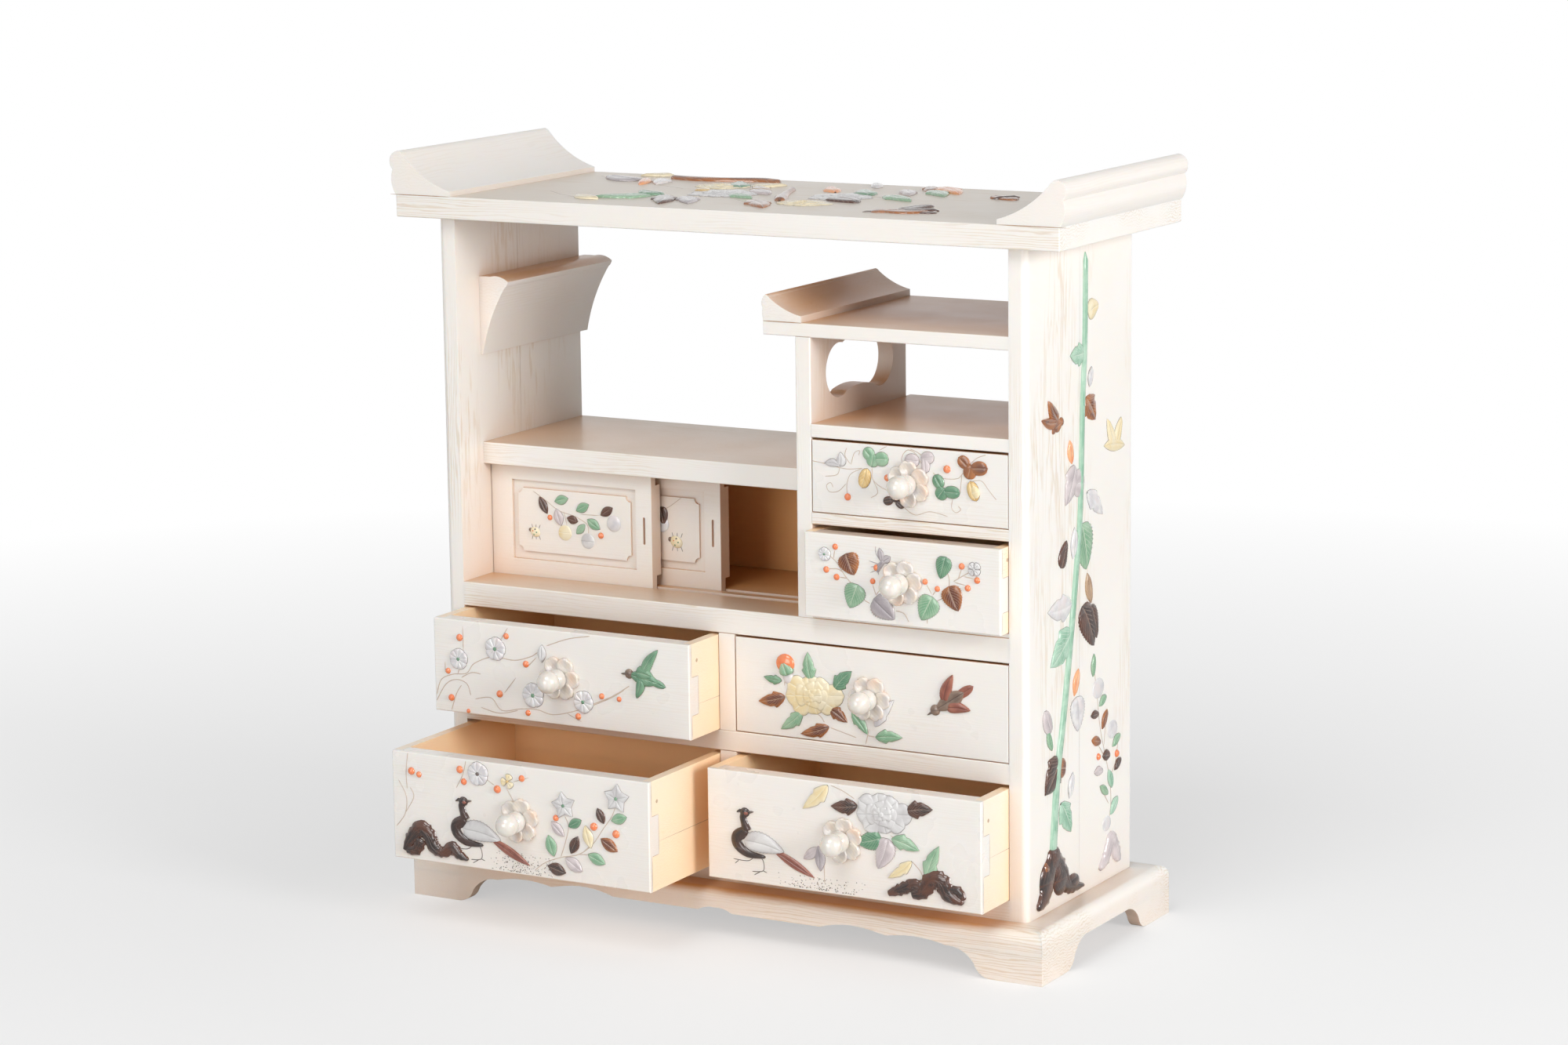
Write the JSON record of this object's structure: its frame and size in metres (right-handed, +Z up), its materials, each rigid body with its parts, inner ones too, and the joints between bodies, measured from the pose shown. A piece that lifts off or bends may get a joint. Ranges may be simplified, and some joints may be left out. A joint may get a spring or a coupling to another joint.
{
  "type": "miniature shelf cabinet",
  "caption": "Miniature cabinet of pale inlaid boards with scrolled top, open shelves, sliding doors and drawers with bead knobs, on a base with bracket feet.",
  "frame": {"origin": "on the standing surface, under the middle of the whole cabinet with its drawers part open", "axes": "+Z up, +Y to the back, +X to the right as seen from the front"},
  "size_m": [0.2348, 0.1334, 0.2387],
  "materials": {
    "board": "polished ivory-like board, fine wavy grain",
    "inner_board": "warmer, less polished inner board",
    "scroll": "polished ivory-like moulding",
    "base": "polished ivory-like moulding, stained joints",
    "door": "creamy polished board with inlay",
    "drawer_front": "polished board with flower inlay",
    "drawer_box": "warm translucent board, satin",
    "pearl": "mother-of-pearl, iridescent",
    "knob": "polished white bead",
    "inlay_coral": "polished coral-coloured bead",
    "inlay_green": "green stained inlay, engraved",
    "inlay_dark": "dark horn-like inlay, amber edges",
    "inlay_lilac": "lilac-grey shell inlay",
    "inlay_yellow": "pale yellow inlay"
  },
  "bodies": {
    "carcass": {"base_rails": "base", "bracket_feet": "base", "base_floor": "inner_board", "side_panel_left": "board", "side_panel_right": "board", "top_board": "board", "top_scroll_left": "scroll", "top_scroll_right": "scroll", "wall_scroll_bracket": "scroll", "door_shelf": "board", "waist_board": "board", "tall_divider": "board", "upper_shelf": "board", "upper_shelf_scroll": "scroll", "lower_shelf": "board", "column_rail": "board", "column_sill": "board", "centre_dividers": "board", "dust_board": "inner_board", "back_panel_lower": "inner_board", "back_panel_doors": "inner_board", "back_panel_column": "inner_board"},
    "door_front": {"door_front": "door"},
    "door_rear": {"door_rear": "door"},
    "column_upper_drawer": {"column_upper_drawer_front": "drawer_front", "column_upper_drawer_sides": "drawer_box", "column_upper_drawer_back": "drawer_box", "column_upper_drawer_bottom": "drawer_box", "column_upper_drawer_rosette": "pearl", "column_upper_drawer_knob": "knob"},
    "column_lower_drawer": {"column_lower_drawer_front": "drawer_front", "column_lower_drawer_sides": "drawer_box", "column_lower_drawer_back": "drawer_box", "column_lower_drawer_bottom": "drawer_box", "column_lower_drawer_rosette": "pearl", "column_lower_drawer_knob": "knob"},
    "upper_left_drawer": {"upper_left_drawer_front": "drawer_front", "upper_left_drawer_sides": "drawer_box", "upper_left_drawer_back": "drawer_box", "upper_left_drawer_bottom": "drawer_box", "upper_left_drawer_rosette": "pearl", "upper_left_drawer_knob": "knob"},
    "upper_right_drawer": {"upper_right_drawer_front": "drawer_front", "upper_right_drawer_sides": "drawer_box", "upper_right_drawer_back": "drawer_box", "upper_right_drawer_bottom": "drawer_box", "upper_right_drawer_rosette": "pearl", "upper_right_drawer_knob": "knob"},
    "lower_left_drawer": {"lower_left_drawer_front": "drawer_front", "lower_left_drawer_sides": "drawer_box", "lower_left_drawer_back": "drawer_box", "lower_left_drawer_bottom": "drawer_box", "lower_left_drawer_rosette": "pearl", "lower_left_drawer_knob": "knob"},
    "lower_right_drawer": {"lower_right_drawer_front": "drawer_front", "lower_right_drawer_sides": "drawer_box", "lower_right_drawer_back": "drawer_box", "lower_right_drawer_bottom": "drawer_box", "lower_right_drawer_rosette": "pearl", "lower_right_drawer_knob": "knob"}
  },
  "joints": [
    {"name": "column_upper_drawer_slide", "type": "slide", "parent": "carcass", "child": "column_upper_drawer", "axis": [0, -1, 0], "range_m": [0, 0.044]},
    {"name": "column_lower_drawer_slide", "type": "slide", "parent": "carcass", "child": "column_lower_drawer", "axis": [0, -1, 0], "range_m": [-0.0052, 0.0388]},
    {"name": "upper_left_drawer_slide", "type": "slide", "parent": "carcass", "child": "upper_left_drawer", "axis": [0, -1, 0], "range_m": [-0.0177, 0.0343]},
    {"name": "upper_right_drawer_slide", "type": "slide", "parent": "carcass", "child": "upper_right_drawer", "axis": [0, -1, 0], "range_m": [0, 0.052]},
    {"name": "lower_left_drawer_slide", "type": "slide", "parent": "carcass", "child": "lower_left_drawer", "axis": [0, -1, 0], "range_m": [-0.0424, 0.0096]},
    {"name": "lower_right_drawer_slide", "type": "slide", "parent": "carcass", "child": "lower_right_drawer", "axis": [0, -1, 0], "range_m": [-0.018, 0.034]},
    {"name": "door_front_slide", "type": "slide", "parent": "carcass", "child": "door_front", "axis": [1, 0, 0], "range_m": [0, 0.0618]},
    {"name": "door_rear_slide", "type": "slide", "parent": "carcass", "child": "door_rear", "axis": [1, 0, 0], "range_m": [-0.0179, 0.0405]}
  ]
}
